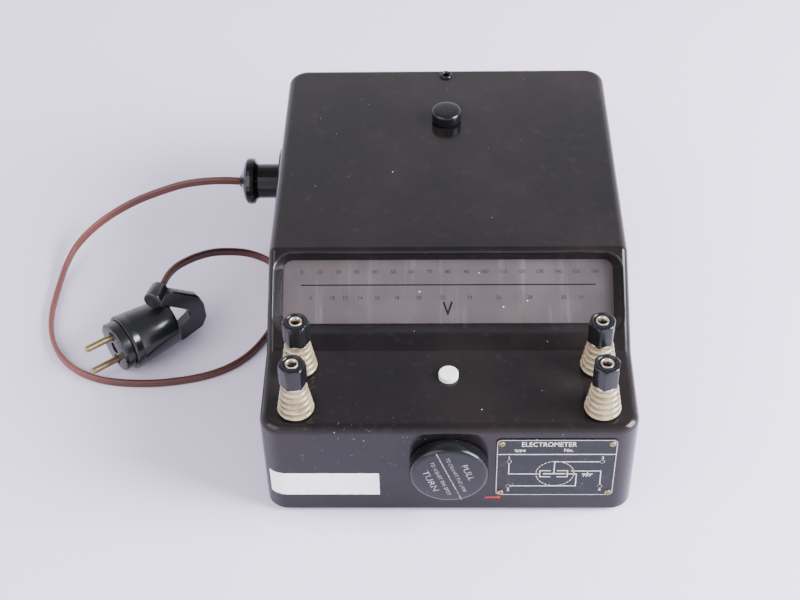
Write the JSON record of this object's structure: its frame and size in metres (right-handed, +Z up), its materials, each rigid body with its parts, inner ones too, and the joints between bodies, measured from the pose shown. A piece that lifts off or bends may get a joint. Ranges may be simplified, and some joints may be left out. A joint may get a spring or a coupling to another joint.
{
  "type": "light-spot electrometer",
  "caption": "Bench light-spot electrometer: black moulded case with sloping frosted scale, hexagonal terminals on ribbed insulators, push button, lamp knob, zero knob and mains lead.",
  "frame": {"origin": "centre of the underside of the feet, on the bounding box without the mains lead", "axes": "+Z up, -Y towards the user (lamp knob side), +X to the right"},
  "size_m": [0.3784, 0.316, 0.1136],
  "materials": {
    "case_black": "gloss",
    "knob_black": "satin",
    "amber_plastic": "gloss",
    "brass": "satin",
    "nickel": "satin",
    "sheet_steel": "satin",
    "vane_aluminium": "satin",
    "white_plastic": "satin",
    "foot_rubber": "matt",
    "frosted_glass": "frosted",
    "clear_glass": "gloss",
    "mirror": "gloss",
    "nameplate_black": "satin",
    "cord_brown": "satin",
    "core_iron": "satin",
    "copper_coil": "satin"
  },
  "bodies": {
    "case": {"housing": "case_black", "inlet_flange": "case_black", "top_ferrule": "knob_black", "connector": "knob_black", "plug_cover": "knob_black", "plug_base": "knob_black", "button_switch": "knob_black", "terminal_1_insulator": "amber_plastic", "terminal_2_insulator": "amber_plastic", "terminal_3_insulator": "amber_plastic", "terminal_4_insulator": "amber_plastic", "cell_insulator": "amber_plastic", "terminal_1_stud": "brass", "terminal_2_stud": "brass", "terminal_3_stud": "brass", "terminal_4_stud": "brass", "lamp_guide": "brass", "lens_holder": "brass", "shield_can": "brass", "inlet_pin_1": "brass", "inlet_pin_2": "brass", "plug_pin_1": "brass", "plug_pin_2": "brass", "electrode_left": "nickel", "electrode_right": "nickel", "button_spring": "nickel", "base_plate": "sheet_steel", "front_mirror_frame": "sheet_steel", "rear_mirror_frame": "sheet_steel", "scale_clip_1": "sheet_steel", "scale_clip_2": "sheet_steel", "foot_1": "foot_rubber", "foot_2": "foot_rubber", "foot_3": "foot_rubber", "foot_4": "foot_rubber", "scale_glass": "frosted_glass", "condenser_lens": "clear_glass", "front_mirror": "mirror", "rear_mirror": "mirror", "circuit_plate": "nameplate_black", "mains_cord": "cord_brown", "transformer_core": "core_iron", "transformer_coil": "copper_coil"},
    "button": {"button_cap": "white_plastic"},
    "lamp_carriage": {"lamp_sleeve": "sheet_steel"},
    "lamp": {"lamp_knob": "knob_black", "lamp_holder": "brass", "lamp_bulb": "clear_glass"},
    "torsion_head": {"zero_knob": "knob_black", "torsion_spindle": "brass"},
    "moving_vane": {"vane": "vane_aluminium", "vane_mirror": "mirror"},
    "terminal_1_lift": {"terminal_1_washer": "nickel"},
    "terminal_1_turn": {"terminal_1_cap": "knob_black"},
    "terminal_2_lift": {"terminal_2_washer": "nickel"},
    "terminal_2_turn": {"terminal_2_cap": "knob_black"},
    "terminal_3_lift": {"terminal_3_washer": "nickel"},
    "terminal_3_turn": {"terminal_3_cap": "knob_black"},
    "terminal_4_lift": {"terminal_4_washer": "nickel"},
    "terminal_4_turn": {"terminal_4_cap": "knob_black"}
  },
  "joints": [
    {"name": "button_press", "type": "slide", "parent": "case", "child": "button", "axis": [0, 0, -1], "range_m": [0, 0.002], "stiffness_N_per_m": 300, "springref_m": -0.0001, "deforming": ["button_spring"]},
    {"name": "lamp_pull", "type": "slide", "parent": "case", "child": "lamp_carriage", "axis": [0, -1, 0], "range_m": [0, 0.045]},
    {"name": "lamp_turn", "type": "hinge", "parent": "lamp_carriage", "child": "lamp", "pos_m": [0.01, -0.148, 0.045], "axis": [0, -1, 0], "range_deg": [-45, 45]},
    {"name": "zero_set", "type": "hinge", "parent": "case", "child": "torsion_head", "pos_m": [0.01, 0.097, 0.104], "axis": [0, 0, 1], "range_deg": [-60, 60]},
    {"name": "vane_swing", "type": "hinge", "parent": "torsion_head", "child": "moving_vane", "pos_m": [0.01, 0.097, 0.0263], "axis": [0, 0, 1], "range_deg": [0, 11.5], "stiffness_Nm_per_rad": 0.00001},
    {"name": "terminal_1_rise", "type": "slide", "parent": "case", "child": "terminal_1_lift", "axis": [0, 0, 1], "range_m": [0, 0.004]},
    {"name": "terminal_1_unscrew", "type": "hinge", "parent": "terminal_1_lift", "child": "terminal_1_turn", "pos_m": [-0.077, -0.133, 0.104], "axis": [0, 0, 1], "range_deg": [0, 1440]},
    {"name": "terminal_2_rise", "type": "slide", "parent": "case", "child": "terminal_2_lift", "axis": [0, 0, 1], "range_m": [0, 0.004]},
    {"name": "terminal_2_unscrew", "type": "hinge", "parent": "terminal_2_lift", "child": "terminal_2_turn", "pos_m": [-0.077, -0.1, 0.104], "axis": [0, 0, 1], "range_deg": [0, 1440]},
    {"name": "terminal_3_rise", "type": "slide", "parent": "case", "child": "terminal_3_lift", "axis": [0, 0, 1], "range_m": [0, 0.004]},
    {"name": "terminal_3_unscrew", "type": "hinge", "parent": "terminal_3_lift", "child": "terminal_3_turn", "pos_m": [0.097, -0.133, 0.104], "axis": [0, 0, 1], "range_deg": [0, 1440]},
    {"name": "terminal_4_rise", "type": "slide", "parent": "case", "child": "terminal_4_lift", "axis": [0, 0, 1], "range_m": [0, 0.004]},
    {"name": "terminal_4_unscrew", "type": "hinge", "parent": "terminal_4_lift", "child": "terminal_4_turn", "pos_m": [0.097, -0.1, 0.104], "axis": [0, 0, 1], "range_deg": [0, 1440]}
  ],
  "couplings": [
    {"joint": "terminal_1_unscrew", "follows": "terminal_1_rise", "rad_per_m": 6283.2},
    {"joint": "terminal_2_unscrew", "follows": "terminal_2_rise", "rad_per_m": 6283.2},
    {"joint": "terminal_3_unscrew", "follows": "terminal_3_rise", "rad_per_m": 6283.2},
    {"joint": "terminal_4_unscrew", "follows": "terminal_4_rise", "rad_per_m": 6283.2}
  ]
}
